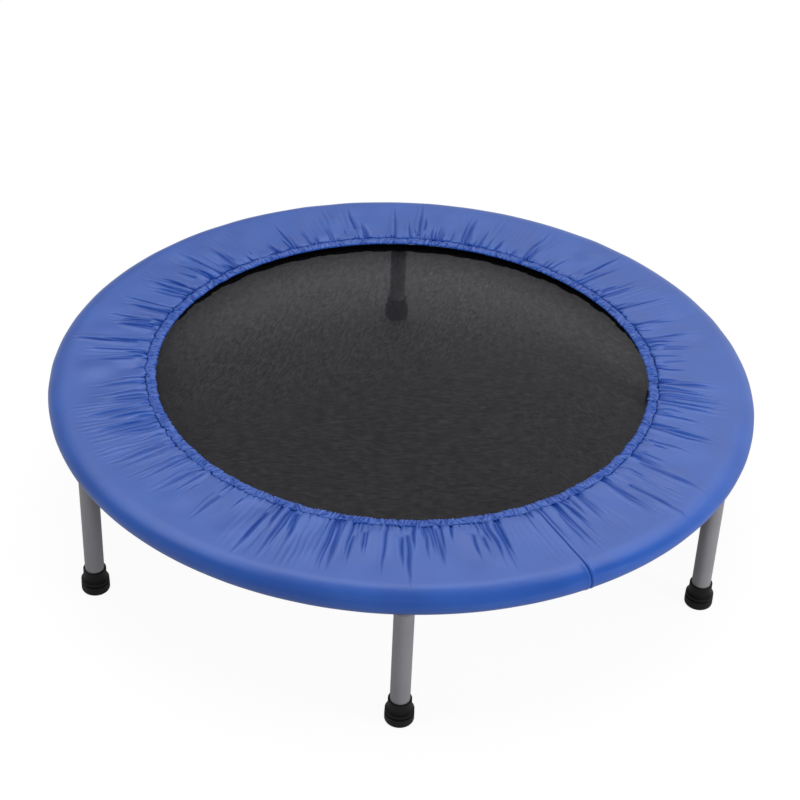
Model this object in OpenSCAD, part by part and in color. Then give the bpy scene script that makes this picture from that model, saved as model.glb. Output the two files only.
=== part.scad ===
// Mini trampoline: a woven mat hung on springs in a steel tube ring, under a padded cover,
// on six legs that screw into the ring. Millimetres, +Z up, origin on the floor below the centre.

/* [Ring] */
// Outer diameter over the pad, 38 inches
overall_d = 965; // [955:1:975]
// Height of the ring tube's centre above the floor
ring_z = 193; // [185:1:205]
// Outer diameter of the ring tube and the leg tubes, 1 inch
tube_d = 25.4; // [25.2:0.1:25.6]
// Wall of the ring tube and the leg tubes
tube_wall = 1.2; // [1:0.1:1.4]

/* [Legs] */
// Thread diameter of the leg studs
stud_d = 10; // [9:0.5:10.5]
// Length of stud that stands above the leg
stud_len = 12.6; // [11:0.2:13]
// Diameter of the welded bush that takes the stud
bush_d = 16; // [15:0.5:16.5]
// Height of the rubber foot
foot_h = 36; // [32:1:38]
// Diameter of the foot's wide band
foot_d = 37.4; // [35:0.2:38]
// Diameter of the foot's collar
collar_d = 30.2; // [29:0.2:30.4]
// Rubber under the end of the leg tube
foot_floor = 5; // [4:0.5:7]

/* [Mat] */
// Diameter of the mat over its binding
mat_d = 728; // [724:1:730]
// Thickness of the woven mat
mat_t = 1.2; // [0.8:0.1:1.4]
// Width of the folded webbing that binds the edge
binding_w = 17; // [16:1:24]
// Thickness of one layer of binding
binding_t = 1; // [0.8:0.1:1]
// Width of the webbing loop round each V-ring
loop_w = 23; // [18:1:25]

/* [Springs] */
// Springs in each sixth of the ring
springs_per_sector = 6; // [4:1:6]
// Outer diameter of the coil
coil_d = 13; // [12:0.5:13]
// Diameter of the spring wire
spring_wire_d = 2; // [1.8:0.1:2]
// Diameter of the holes in the ring tube for the spring hooks
spring_hole_d = 7; // [6.5:0.1:8]

/* [Pad] */
// Radius of the roll that the cover makes round the tube
roll_r = 17; // [16.8:0.1:17.4]
// Diameter of the opening inside the pad
opening_d = 676; // [670:1:680]
// Width of the gathered hem round the opening
hem_w = 14; // [13:1:16]
// Height of the cover's top above the tube centre
pad_rise = 18.4; // [18:0.1:19]
// Height of the gathers beside the hem
gather_h = 1.4; // [0.4:0.1:1.4]
// Height of the ruching in the hem
ruche_h = 0.7; // [0.2:0.1:0.8]

/* [Hidden] */
leg_count = 6;
legs = [1:leg_count];
ring_r = overall_d / 2 - roll_r;
tube_r = tube_d / 2;
bore_r = tube_r - tube_wall;
ring_inner_r = ring_r - tube_r;

// Legs: a saddle washer fills the gap between the round ring and the flat top of each leg.
saddle_gap = 2;
saddle_clear = 0.3;
saddle_h = 3.2;
saddle_hole_d = bush_d + 2 * saddle_clear;
leg_top = ring_z - tube_r - saddle_gap - 0.1;
plug_h = 10;
bush_h = 12.3;
bush_below = 1.3;
bush_z = ring_z - tube_r - bush_below;
running_gap = 0.05;
weld_gap = 0.05;

// Mat: the V-rings, springs and spring holes all pull in the plane of the tube's centre.
mat_r = mat_d / 2 - binding_t;
binding_in = mat_d / 2 - binding_w - binding_t;
v_bar_r = mat_d / 2 + 11;
v_wire_r = 1.6;
v_half = 17;
v_reach = 21;
v_apex_angle = atan(v_half / v_reach);
v_apex_r = v_bar_r + v_reach;
loop_bore_r = v_wire_r + 0.3;
loop_t = 1.2;

// Springs: a full loop hook round the V-ring, a bent hook through the hole in the ring.
spring_wire_r = spring_wire_d / 2;
coil_wall = 2.2;
coil_mean_r = coil_d / 2 - coil_wall / 2;
hook_seat = v_apex_r - (v_wire_r + spring_wire_r + 0.05) / sin(v_apex_angle);
loop_hook_x = hook_seat + coil_mean_r;
coil_start = loop_hook_x - 1.2;
coil_end = ring_inner_r - 9;
tip_bend = 3.6;
tip_turn = 100;
joint_bead = 1.08;
joint_gap = 0.1;
spring_pitch = 60 / springs_per_sector;

// Pad: skin sections run from the stitch line over the top and the roll to the skirt's edge.
stitch_r = opening_d / 2 + hem_w;
top_z = ring_z + pad_rise;
cover_steps = 66;
steps_per_leg = cover_steps / leg_count;
hem_steps = 108;
skirt_end = -112;
notch_side = -75;
notch_end = -38;
skin_r = roll_r - 1;
foam_r = skin_r - 0.8;
foam_gap = 0.2;
lining_z = ring_z + 7.6;
lining_t = 0.6;
elastic_cord_r = 0.6;
elastic_orbit = 14.45;
elastic_sides = 6;
elastic_inset = 2;

// ---- helpers ----

// Leg 1 stands at the front, on -Y, and the others follow anticlockwise.
function leg_angle(k) = -90 + (k - 1) * 360 / leg_count;

function unit(v) = v / norm(v);

function polar(r, a) = [r * cos(a), r * sin(a)];

// Points of an arc round c, from angle a0 to a1, ends included.
function arc(c, r, a0, a1, n) = [for (i = [0:n]) c + polar(r, a0 + (a1 - a0) * i / n)];

// A point [r, z] of a section, turned to azimuth a.
function spun(p, a) = [p[0] * cos(a), p[0] * sin(a), p[1]];

module at_leg(k) {
    rotate([0, 0, leg_angle(k)]) translate([ring_r, 0, 0]) children();
}

module at_springs() {
    for (k = legs) at_springs_of(k) children();
}

module at_springs_of(k) {
    for (i = [0:springs_per_sector - 1])
        rotate([0, 0, leg_angle(k) + (i + 0.5) * spring_pitch]) children();
}

// Straight round wire between two points of the XY plane.
module rod(p, q, r) {
    way = q - p;
    translate([p[0], p[1], 0])
        rotate([0, 0, atan2(way[1], way[0])])
            rotate([0, 90, 0]) cylinder(r = r, h = norm(way), $fn = 24);
}

// Round wire bent in the XY plane about c, from angle a0 through a turn.
module bend(c, bend_r, a0, turn, r) {
    translate([c[0], c[1], 0])
        rotate([0, 0, a0])
            rotate_extrude(angle = turn, $fn = 48) translate([bend_r, 0]) circle(r, $fn = 24);
}

// A bead a little fatter than the wire joins two stretches of it.
module bead(p, r) {
    translate([p[0], p[1], 0]) sphere(r * joint_bead, $fn = 24);
}

// A closed ring-shaped skin through equal sections, each a loop of [r, z] points.
module skin(sections) {
    m = len(sections);
    n = len(sections[0]);
    points = [for (i = [0:m - 1]) for (p = sections[i]) spun(p, 90 + i * 360 / m)];
    faces = [
        for (i = [0:m - 1]) for (j = [0:n - 1])
            let (a = i * n, b = (i + 1) % m * n, k = (j + 1) % n)
            each [[a + j, b + k, a + k], [a + j, b + j, b + k]]
    ];
    polyhedron(points = points, faces = faces, convexity = 6);
}

// ---- ring ----

module frame_ring() {
    color("dimgray") difference() {
        rotate_extrude($fn = 180) translate([ring_r, ring_z]) difference() {
            circle(tube_r, $fn = 48);
            circle(bore_r, $fn = 48);
        }
        at_springs() translate([ring_inner_r - 1, 0, ring_z])
            rotate([0, 90, 0]) cylinder(d = spring_hole_d, h = 4, $fn = 32);
        for (k = legs) at_leg(k) translate([0, 0, bush_z - 1])
            cylinder(d = bush_d + 2 * weld_gap, h = 10, $fn = 48);
    }
}

module leg_bushes() {
    color("silver") for (k = legs) at_leg(k) translate([0, 0, bush_z]) difference() {
        cylinder(d = bush_d, h = bush_h, $fn = 48);
        translate([0, 0, -1]) cylinder(r = stud_d / 2 + running_gap, h = bush_h + 2, $fn = 48);
    }
}

// ---- legs ----

module saddle_washer(k) {
    color("dimgray") difference() {
        at_leg(k) translate([0, 0, leg_top + 0.1]) difference() {
            cylinder(d = tube_d, h = saddle_h, $fn = 48);
            translate([0, 0, -1]) cylinder(d = saddle_hole_d, h = saddle_h + 2, $fn = 48);
        }
        rotate_extrude($fn = 180) translate([ring_r, ring_z]) circle(tube_r + saddle_clear, $fn = 48);
    }
}

module leg_tube(k) {
    color("gray") at_leg(k) translate([0, 0, foot_floor]) difference() {
        cylinder(r = tube_r, h = leg_top - foot_floor, $fn = 48);
        translate([0, 0, -1]) cylinder(r = bore_r, h = leg_top + 2, $fn = 48);
    }
}

// A plug welded in the top of the leg, turned in one piece with its stud.
module leg_stud(k) {
    tip = 1.2;
    color("silver") at_leg(k) translate([0, 0, leg_top - plug_h]) {
        cylinder(r = bore_r, h = plug_h, $fn = 48);
        cylinder(d = stud_d, h = plug_h + stud_len - tip, $fn = 48);
        translate([0, 0, plug_h + stud_len - tip])
            cylinder(d1 = stud_d, d2 = stud_d - 2 * tip, h = tip, $fn = 48);
    }
}

// Half outline of the foot: rounded base, band with a groove, sloping shoulder, collar.
module rubber_foot(k) {
    band = foot_d / 2;
    collar = collar_d / 2;
    color("#1c1c1e") at_leg(k) rotate_extrude($fn = 96) polygon(concat(
        [[0, 0]],
        arc([band - 4, 4], 4, -90, 0, 4),
        [[band, 13.2], [band - 1.3, 14.1], [band - 1.3, 15.7], [band - 0.3, 16.7]],
        arc([band - 1.9, 18.3], 1.7, 0, 60, 3),
        [[collar + 0.5, 24.2], [collar, 26.5]],
        arc([collar - 0.9, foot_h - 0.9], 0.9, 0, 90, 3),
        [[tube_r, foot_h], [tube_r, foot_floor], [0, foot_floor]]
    ));
}

// ---- mat ----

module mat() {
    color("#2a2a2c") translate([0, 0, ring_z]) cylinder(r = mat_r, h = mat_t, $fn = 180);
}

module mat_binding() {
    top = mat_t + binding_t;
    color("#1e1e20") rotate_extrude($fn = 180) translate([0, ring_z]) polygon([
        [binding_in, -binding_t], [mat_d / 2, -binding_t], [mat_d / 2, top], [binding_in, top],
        [binding_in, mat_t], [mat_r, mat_t], [mat_r, 0], [binding_in, 0]
    ]);
}

// One sewn strap below the binding, folded round the bar of its V-ring.
module webbing_loops() {
    eye_r = loop_bore_r + loop_t;
    strap_t = eye_r - binding_t - 0.1;
    color("#202022") at_springs() translate([0, loop_w / 2, ring_z]) rotate([90, 0, 0])
        linear_extrude(loop_w) difference() {
            union() {
                translate([binding_in + 1, -eye_r]) square([v_bar_r - binding_in - 1, strap_t]);
                translate([v_bar_r, 0]) circle(eye_r, $fn = 32);
            }
            translate([v_bar_r, 0]) circle(loop_bore_r, $fn = 32);
        }
}

module v_ring() {
    corners = [[v_bar_r, -v_half], [v_bar_r, v_half], [v_apex_r, 0]];
    for (i = [0:2]) {
        rod(corners[i], corners[(i + 1) % 3], v_wire_r);
        bead(corners[i], v_wire_r);
    }
}

module v_rings() {
    color("silver") at_springs() translate([0, 0, ring_z]) v_ring();
}

// ---- springs ----

// Drawn in the XY plane with the pull along X, and stood on edge by spring_set. The coil is a
// tube, its inner end turns into a loop and its outer end drops to the axis and hooks upwards.
module spring() {
    knee = [coil_end + 4, 0];
    seat = [ring_inner_r, 0];
    translate([coil_start, 0, 0]) rotate([0, 90, 0]) difference() {
        cylinder(d = coil_d, h = coil_end - coil_start, $fn = 48);
        translate([0, 0, -1]) cylinder(d = coil_d - 2 * coil_wall, h = coil_end - coil_start + 2, $fn = 48);
    }
    bend([loop_hook_x, 0], coil_mean_r, 92, 143, spring_wire_r);
    rod([coil_end - 0.8, coil_mean_r], knee, spring_wire_r);
    bead(knee, spring_wire_r);
    rod(knee, seat - [joint_gap, 0], spring_wire_r);
    bead(seat, spring_wire_r);
    bend(seat + [0, tip_bend], tip_bend, -90, tip_turn, spring_wire_r);
}

module spring_set(k) {
    color("lightgray") at_springs_of(k) translate([0, 0, ring_z]) rotate([90, 0, 0]) spring();
}

// ---- pad ----

// Gathers rise and fall from step to step, and are the same on both sides of the YZ plane.
function gather(i) =
    let (a = i * 360 / cover_steps)
    0.62 * cos(33 * a) + 0.24 * cos(22 * a) + 0.14 * cos(9 * a);

// The skirt wraps under the tube, and is notched over each leg.
function skirt_angle(i) =
    let (from_leg = min(i % steps_per_leg, steps_per_leg - i % steps_per_leg))
    from_leg < 0.5 ? notch_end : from_leg < 1.5 ? notch_side : skirt_end;

function on_roll(r, a) = [ring_r, ring_z] + polar(r, a);

function cover_section(i) =
    let (g = gather_h * gather(i), edge = skirt_angle(i))
    concat(
        [[stitch_r + 0.2, top_z - 2.5 + 0.3 * g], [stitch_r + 14, top_z - 0.2 + g]],
        [[stitch_r + 48, top_z + 0.4 * g]],
        [for (a = [90, 60, 30, 0, edge / 3, edge * 2 / 3, edge]) on_roll(roll_r, a)],
        [for (a = [edge, edge * 2 / 3, edge / 3, 0, 45, 90]) on_roll(skin_r, a)],
        [[stitch_r + 14, top_z - 2.1], [stitch_r + 0.2, top_z - 3.5]]
    );

module pad_cover() {
    color("royalblue") skin([for (i = [0:cover_steps - 1]) cover_section(i)]);
}

// Fabric folded back under the opening's edge, ruched on its elastic and open at the stitching.
function hem_section(i) =
    let (
        a = i * 360 / hem_steps,
        g = ruche_h * (0.7 * cos(54 * a) + 0.3 * cos(18 * a)),
        lip = opening_d / 2,
        back = stitch_r - 0.3
    )
    [
        [back, top_z - 3.1], [lip + 5, top_z - 2], [lip + 2, top_z - 3],
        [lip + 5, top_z - 4.2], [back, top_z - 4.7], [back, top_z - 5.6],
        [lip + 4, top_z - 5.1 + 0.5 * g], [lip + 0.4 * g, top_z - 3], [lip + 4, top_z - 0.6 + g],
        [back - 3.7, top_z - 0.7 + g], [back, top_z - 2.2]
    ];

module hem_channel() {
    color("royalblue") skin([for (i = [0:hem_steps - 1]) hem_section(i)]);
}

module hem_elastic() {
    color("whitesmoke") rotate_extrude($fn = 180)
        translate([opening_d / 2 + 5.5, top_z - 4]) square([hem_w - 7, 0.85]);
}

module skirt_elastic() {
    color("black") skin([
        for (i = [0:cover_steps - 1])
            let (centre = on_roll(elastic_orbit, skirt_angle(i) + elastic_inset))
            [for (s = [0:elastic_sides - 1]) centre + polar(elastic_cord_r, -s * 360 / elastic_sides)]
    ]);
}

// A flat ring of foam that carries on over the tube to its outer side.
module pad_foam() {
    inner = stitch_r + 2;
    bottom = ring_z + 8.4;
    over = tube_r + foam_gap;
    meets = 180 - asin((bottom - ring_z) / over);
    color("ivory") rotate_extrude($fn = 180) polygon(concat(
        [[inner, bottom + 2], [inner + 2, bottom]],
        arc([ring_r, ring_z], over, meets, 0, 12),
        [on_roll(foam_r, 0), on_roll(foam_r, 45), on_roll(foam_r, 90)],
        [[inner + 12, top_z - 2.9], [inner, top_z - 4.6]]
    ));
}

// Thin cloth under the foam, turned up to the stitch line.
module pad_lining() {
    outer = ring_inner_r - 1.4;
    color("slategray") rotate_extrude($fn = 180) polygon([
        [stitch_r + 0.3, top_z - 5], [stitch_r + 0.3, lining_z + 2.4], [stitch_r + 2.6, lining_z],
        [outer, lining_z], [outer, lining_z + lining_t], [stitch_r + 2.9, lining_z + lining_t],
        [stitch_r + 0.9, lining_z + 2.6], [stitch_r + 0.9, top_z - 5]
    ]);
}

frame_ring();
leg_bushes();
pad_cover();
hem_channel();
pad_foam();
pad_lining();
hem_elastic();
skirt_elastic();
mat();
mat_binding();
webbing_loops();
v_rings();
for (k = legs) {
    spring_set(k);
    saddle_washer(k);
    leg_tube(k);
    leg_stud(k);
    rubber_foot(k);
}
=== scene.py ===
# A small round trampoline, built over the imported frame: a padded blue cover, a woven mat, springs
# and screw-in legs.
import bpy
import numpy as np
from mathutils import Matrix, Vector


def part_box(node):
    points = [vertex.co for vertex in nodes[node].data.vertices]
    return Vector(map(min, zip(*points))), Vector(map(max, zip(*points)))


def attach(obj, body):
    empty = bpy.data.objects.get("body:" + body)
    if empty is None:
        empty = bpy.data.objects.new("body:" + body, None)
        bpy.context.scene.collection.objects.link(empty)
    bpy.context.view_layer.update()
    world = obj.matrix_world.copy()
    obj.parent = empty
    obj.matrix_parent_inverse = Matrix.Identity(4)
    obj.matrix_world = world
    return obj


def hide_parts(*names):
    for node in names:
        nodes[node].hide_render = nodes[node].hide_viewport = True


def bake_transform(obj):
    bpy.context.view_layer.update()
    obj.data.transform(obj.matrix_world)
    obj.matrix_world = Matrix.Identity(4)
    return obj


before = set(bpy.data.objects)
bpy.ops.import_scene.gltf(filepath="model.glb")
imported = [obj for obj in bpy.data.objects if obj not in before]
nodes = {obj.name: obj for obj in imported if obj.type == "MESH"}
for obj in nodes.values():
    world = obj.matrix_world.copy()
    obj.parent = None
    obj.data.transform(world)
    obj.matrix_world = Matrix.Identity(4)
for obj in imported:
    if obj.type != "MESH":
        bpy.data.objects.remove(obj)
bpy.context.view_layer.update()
print("frame loaded with", len(nodes), "nodes")

tau = 2 * np.pi
mm = 0.001  # one millimetre in metres
legCount = 6
springCount = 36

# The tube ring's height and radii, in metres and then in millimetres, as surfaces are worked out.
ringLow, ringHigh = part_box("frame_ring")
ringZ = (ringLow.z + ringHigh.z) / 2
tubeR = (ringHigh.z - ringLow.z) / 2
ringMm, zMm, tubeMm = (ringHigh.x - tubeR) * 1000, ringZ * 1000, tubeR * 1000


def legAzimuth(k):
    return np.radians(-90 + 360 / legCount * (k - 1))


def springAzimuth(n):
    return np.radians(-85 + 360 / springCount * n)


def placed(name, data):
    made = bpy.data.objects.new(name, data)
    bpy.context.scene.collection.objects.link(made)
    return made


view = {
    "place": (-0.06777, -2.15875, 1.66307),  # metres
    "turn": (55.0675, -2.0743, -0.2975),  # degrees
    "lens": 85.077,
    "sensor": 36.0,
}
camera = placed("camera", bpy.data.cameras.new("camera"))
camera.location = view["place"]
camera.rotation_euler = [float(np.radians(a)) for a in view["turn"]]
camera.data.lens = view["lens"]
camera.data.sensor_width = view["sensor"]
bpy.context.scene.camera = camera
bpy.context.scene.view_settings.view_transform = "Standard"
print("camera placed")


# Screen colours from 0 to 255 turned to the linear values that shaders use:
# ((c + 0.055) / 1.055)^2.4, or c / 12.92 where that is dark.
def screen(r, g, b):
    c = np.array([r, g, b]) / 255
    linear = np.where(c > 0.04045, ((c + 0.055) / 1.055) ** 2.4, c / 12.92)
    return tuple(float(x) for x in linear) + (1.0,)


# A socket that can stand in a Python expression; each operator adds one Math node.
class Value:
    def __init__(self, tree, socket):
        self.tree, self.socket = tree, socket

    def math(self, operation, *others, clamp=False):
        settings = {"operation": operation, "use_clamp": clamp}
        return node(self.tree, "ShaderNodeMath", settings, dict(enumerate((self,) + others)))

    def __add__(self, other):
        return self.math("ADD", other)

    def __sub__(self, other):
        return self.math("SUBTRACT", other)

    def __rsub__(self, other):
        return node(self.tree, "ShaderNodeMath", {"operation": "SUBTRACT"}, {0: other, 1: self})

    def __mul__(self, other):
        return self.math("MULTIPLY", other)

    __radd__ = __add__
    __rmul__ = __mul__

    def sine(self):
        return self.math("SINE")

    def wave(self, period, phase=0.0):
        # 0.5 + 0.5 sin(2 pi x / period + phase)
        return (self * (tau / period) + phase).sine() * 0.5 + 0.5

    def clamped(self):
        return self.math("ADD", 0.0, clamp=True)

    def between(self, low, high, out0=0.0, out1=1.0):
        # a smooth step from out0 at low to out1 at high
        sockets = {0: self, 1: low, 2: high, 3: out0, 4: out1}
        return node(self.tree, "ShaderNodeMapRange", {"interpolation_type": "SMOOTHSTEP"}, sockets)


# Adds a node of a type: its settings first, then the values or links of its sockets.
def node(tree, kind, settings=None, sockets=None, out=0):
    made = tree.nodes.new(kind)
    for key, setting in (settings or {}).items():
        setattr(made, key, setting)
    for key, given in (sockets or {}).items():
        if isinstance(given, Value):
            tree.links.new(given.socket, made.inputs[key])
        else:
            made.inputs[key].default_value = given
    return Value(tree, made.outputs[out])


def mixColour(factor, a, b):
    return node(factor.tree, "ShaderNodeMix", {"data_type": "RGBA"}, {0: factor, 6: a, 7: b}, out=2)


# A material with its Principled shader's own sockets set; varying inputs are linked afterwards.
def material(name, **fixed):
    made = bpy.data.materials.new(name)
    made.use_nodes = True
    shader = made.node_tree.nodes["Principled BSDF"]
    for key, setting in fixed.items():
        shader.inputs[key.replace("_", " ")].default_value = setting
    return made, made.node_tree, shader


def link(value, shader, socket):
    value.tree.links.new(value.socket, shader.inputs[socket])


# The material's output becomes its shader where the factor is 0 and the other one where it is 1.
def mixShaders(factor, shader, other):
    tree = factor.tree
    sockets = {0: factor, 1: Value(tree, shader.outputs[0]), 2: other}
    mixed = node(tree, "ShaderNodeMixShader", None, sockets)
    tree.links.new(mixed.socket, tree.nodes["Material Output"].inputs[0])


def objectPoint(tree):
    return node(tree, "ShaderNodeTexCoord", out=3)


def split(point):
    parts = node(point.tree, "ShaderNodeSeparateXYZ", None, {0: point})
    return [Value(point.tree, s) for s in parts.socket.node.outputs]


def uvSplit(tree):
    return split(node(tree, "ShaderNodeTexCoord", out=2))[:2]


def noise(point, scale, detail=3.0, roughness=0.5):
    sockets = {"Vector": point, "Scale": scale, "Detail": detail, "Roughness": roughness}
    return node(point.tree, "ShaderNodeTexNoise", None, sockets)


def bump(height, distance, strength):
    sockets = {"Height": height, "Distance": distance, "Strength": strength}
    return node(height.tree, "ShaderNodeBump", None, sockets)


def ray(tree, kind):
    return node(tree, "ShaderNodeLightPath", out=kind)


# 1 for rays that metal or glass sends on.
def mirroredRay(tree):
    return ray(tree, "Is Glossy Ray").math("MAXIMUM", ray(tree, "Is Transmission Ray"))


# Six times the enclosed volume: the sum of a . (b x c) over all triangles.
def turnedOut(points, quads):
    a, b, c, d = (points[quads[:, i]] for i in range(4))
    both = np.einsum("ij,ij->i", a, np.cross(b, c)) + np.einsum("ij,ij->i", a, np.cross(c, d))
    return both.sum() > 0


# Every pair of a place around and a place along, both in millimetres, as a grid of UV points.
def pairs(around, along):
    return np.stack(np.meshgrid(around, along, indexing="ij"), -1) * mm


# Distances along a line of points, and after them the place where the loop ends.
def lengths(line, end=None):
    along = np.append(0, np.cumsum(np.linalg.norm(np.diff(line, axis=0), axis=1)))
    return np.append(along, along[-1] + 1 if end is None else end)


# Joins a grid of points p(i, j) to quads. i always wraps. j wraps too where the surface is joined,
# and otherwise its two ends close to a point each. Faces are turned so that they point outwards.
def surface(grid, joined, uv=None):
    ni, nj = grid.shape[:2]
    i, j = np.meshgrid(np.arange(ni), np.arange(nj if joined else nj - 1), indexing="ij")
    corners = [(i, j), (i + 1, j), (i + 1, j + 1), (i, j + 1)]
    quads = np.stack([(a % ni) * nj + b % nj for a, b in corners], -1).reshape(-1, 4)
    if uv is None:
        uv = pairs(np.arange(ni + 1), np.arange(nj + 1))
    uvs = np.stack([uv[a, b] for a, b in corners], -2).reshape(-1, 4, 2)
    points = grid.reshape(-1, 3)
    fans = [np.zeros((0, 3), int)]
    for row in () if joined else (0, nj - 1):
        rim = np.arange(ni) * nj + row
        after = np.roll(rim, -1)
        pair = (rim, after) if row else (after, rim)
        fans.append(np.stack(pair + (np.full(ni, len(points)),), -1))
        points = np.vstack([points, points[rim].mean(0)])
    fans = np.vstack(fans)
    if not turnedOut(points, quads):
        quads, uvs, fans = quads[:, ::-1], uvs[:, ::-1], fans[:, ::-1]
    return points, quads, fans, uvs


# Several surfaces as one list of points and faces.
def together(parts):
    points, quads, threes, uvs, shift = [], [], [], [], 0
    for p, q, t, w in parts:
        points.append(p)
        quads.append(q + shift)
        threes.append(t + shift)
        uvs.append(w)
        shift += len(p)
    return tuple(np.concatenate(x) for x in (points, quads, threes, uvs))


# Puts points in millimetres, four-sided and three-sided faces into a new object in metres.
def piece(name, made, look, paintedShade=None):
    points, quads, threes, uvs = made
    mesh = bpy.data.meshes.new(name)
    loops = np.concatenate([quads.ravel(), threes.ravel()]).astype(np.int32)
    sizes = np.concatenate([np.full(len(quads), 4), np.full(len(threes), 3)])
    mesh.vertices.add(len(points))
    mesh.vertices.foreach_set("co", (points * mm).astype(np.float32).ravel())
    mesh.loops.add(len(loops))
    mesh.loops.foreach_set("vertex_index", loops)
    mesh.polygons.add(len(sizes))
    mesh.polygons.foreach_set("loop_start", (np.cumsum(sizes) - sizes).astype(np.int32))
    mesh.update(calc_edges=True)
    mesh.polygons.foreach_set("use_smooth", np.full(len(sizes), True))
    flat = np.concatenate([uvs.reshape(-1, 2), np.zeros((3 * len(threes), 2))])
    mesh.uv_layers.new(name="UVMap").data.foreach_set("uv", flat.astype(np.float32).ravel())
    if paintedShade is not None:
        layer = mesh.attributes.new("paintedShade", "FLOAT", "POINT")
        layer.data.foreach_set("value", paintedShade.astype(np.float32).ravel())
    mesh.validate()
    mesh.materials.append(look)
    return placed(name, mesh)


# Points (r cos a, r sin a, z), as whole arrays.
def polar(r, angle, z):
    return np.stack(np.broadcast_arrays(r * np.cos(angle), r * np.sin(angle), z), -1)


# Turns a profile [r, z] round the vertical axis: p(a, s) = (r(s) cos a, r(s) sin a, z(s)).
def turned(profile, steps, joined, centre=(0, 0)):
    profile = np.asarray(profile, float)
    r, z = profile.T
    grid = polar(r, np.arange(steps)[:, None] * tau / steps, z) + (*centre, 0)
    around = np.arange(steps + 1) * tau / steps * r.max()
    return surface(grid, joined, pairs(around, lengths(profile)))


# Points of an arc about (x, y) from one angle to another, in degrees.
def arc(x, y, radius, start, end, count):
    a = np.radians(np.linspace(start, end, count))
    return np.stack([x + radius * np.cos(a), y + radius * np.sin(a)], -1)


def unit(vectors):
    return vectors / np.linalg.norm(vectors, axis=-1, keepdims=True)


# Carries a small circle along a path: p(i, j) = path(j) + r (cos a n(j) + sin a b(j)).
def tube(path, radius, sides, closed=False):
    ahead = np.roll(path, -1, 0) - np.roll(path, 1, 0) if closed else np.gradient(path, axis=0)
    ahead = unit(ahead)
    across = np.zeros_like(path)
    across[0] = unit(np.cross(ahead[0], (0.3, 0.2, 0.9)))
    for k in range(1, len(path)):
        across[k] = unit(across[k - 1] - ahead[k] * (across[k - 1] @ ahead[k]))
    if closed:
        # the frame comes back turned by some angle, which is shared out along the loop
        other = np.cross(ahead[0], across[0])
        end = across[-1] - ahead[0] * (across[-1] @ ahead[0])
        slip = np.arctan2(end @ other, end @ across[0])
        share = -slip * np.arange(len(path)) / len(path)
        third = np.cross(ahead, across)
        across = across * np.cos(share)[:, None] + third * np.sin(share)[:, None]
    third = np.cross(ahead, across)
    a = np.arange(sides)[:, None, None] * tau / sides
    return surface(path + radius * (np.cos(a) * across + np.sin(a) * third), closed)


# A surface turned about the vertical axis.
def spun(made, angle):
    c, s = np.cos(angle), np.sin(angle)
    x, y, z = made[0].T
    return (np.stack([x * c - y * s, x * s + y * c, z], -1),) + made[1:]


def atEachSpring(made):
    return together([spun(made, springAzimuth(n)) for n in range(springCount)])


# The smooth step 3 t^2 - 2 t^3, from 0 at low to 1 at high.
def ease(x, low, high):
    t = np.clip((x - low) / (high - low), 0, 1)
    return t * t * (3 - 2 * t)


# A bell exp(-|x / width|^power), 1 in the middle.
def bell(x, width, power=2):
    return np.exp(-(np.abs(x / width) ** power))


# A smooth random curve round the ring: a sum of sines with whole numbers of waves.
def drift(rng, azimuth, lowest, highest, count):
    waves = rng.integers(lowest, highest + 1, count)
    phases = rng.uniform(0, tau, count)
    return sum(np.sin(w * azimuth + p) for w, p in zip(waves, phases)) / np.sqrt(count / 2)


# Plain weave from a piece's own UV map: threads pass over and under each other in turn.
def plainWeave(tree):
    u, v = uvSplit(tree)
    thread = 0.0009
    return u.wave(thread) * v.wave(thread) + u.wave(thread, np.pi) * v.wave(thread, np.pi)


# Painted shade in folds, along the seam and stitch lines and between ripples, from 0 to 1, as the
# piece's own attribute says.
def paintedShadeLevel(tree):
    return node(tree, "ShaderNodeAttribute", {"attribute_name": "paintedShade"}, out=2).clamped()


clothGrain = (0.00012, 0.35)
sheenLostInShade = 0.9  # share of the coating's gloss taken off in the painted shade: painted loss of sheen

coverLook, tree, shader = material(
    "coverCloth", Specular_IOR_Level=0.12, Coat_Roughness=0.34, Coat_IOR=1.52
)
weave, paintedShade = plainWeave(tree), paintedShadeLevel(tree)
cloud = noise(objectPoint(tree), 14.0, 4.0)
tone = mixColour(cloud.between(0.3, 0.7), screen(31, 77, 162), screen(36, 85, 172))
# Painted shade: the cloth is a darker blue where the attribute says shade lies.
link(mixColour(paintedShade, tone, screen(20, 62, 150)), shader, "Base Color")
link(cloud * 0.12 + weave * 0.05 + 0.45, shader, "Roughness")
# Painted dimming of the sheen: the coating's gloss is cut by a fifth toward the back.
backSheenCut = split(objectPoint(tree))[1].between(-0.1, 0.42, 1.0, 0.8)
# Painted shade also takes most of the coating's gloss away.
link((1 - paintedShade * sheenLostInShade) * backSheenCut, shader, "Coat Weight")
grain = weave + noise(objectPoint(tree), 900.0, 2.0) * 0.6
link(bump(grain, *clothGrain), shader, "Normal")

hemLook, tree, shader = material(
    "hemCloth", Specular_IOR_Level=0.12, Coat_Roughness=0.36, Coat_IOR=1.52
)
weave, paintedShade = plainWeave(tree), paintedShadeLevel(tree)
# Painted shade: darker blue and less gloss where the attribute says shade lies.
link(mixColour(paintedShade, screen(44, 90, 180), screen(20, 58, 144)), shader, "Base Color")
link(weave * 0.08 + 0.45, shader, "Roughness")
link(1 - paintedShade * sheenLostInShade, shader, "Coat Weight")
link(bump(weave, *clothGrain), shader, "Normal")

threadLook, tree, shader = material("navyThread", Roughness=0.8, Specular_IOR_Level=0.1)
tone = mixColour(noise(objectPoint(tree), 600.0), screen(14, 34, 102), screen(24, 50, 130))
link(tone, shader, "Base Color")


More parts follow.
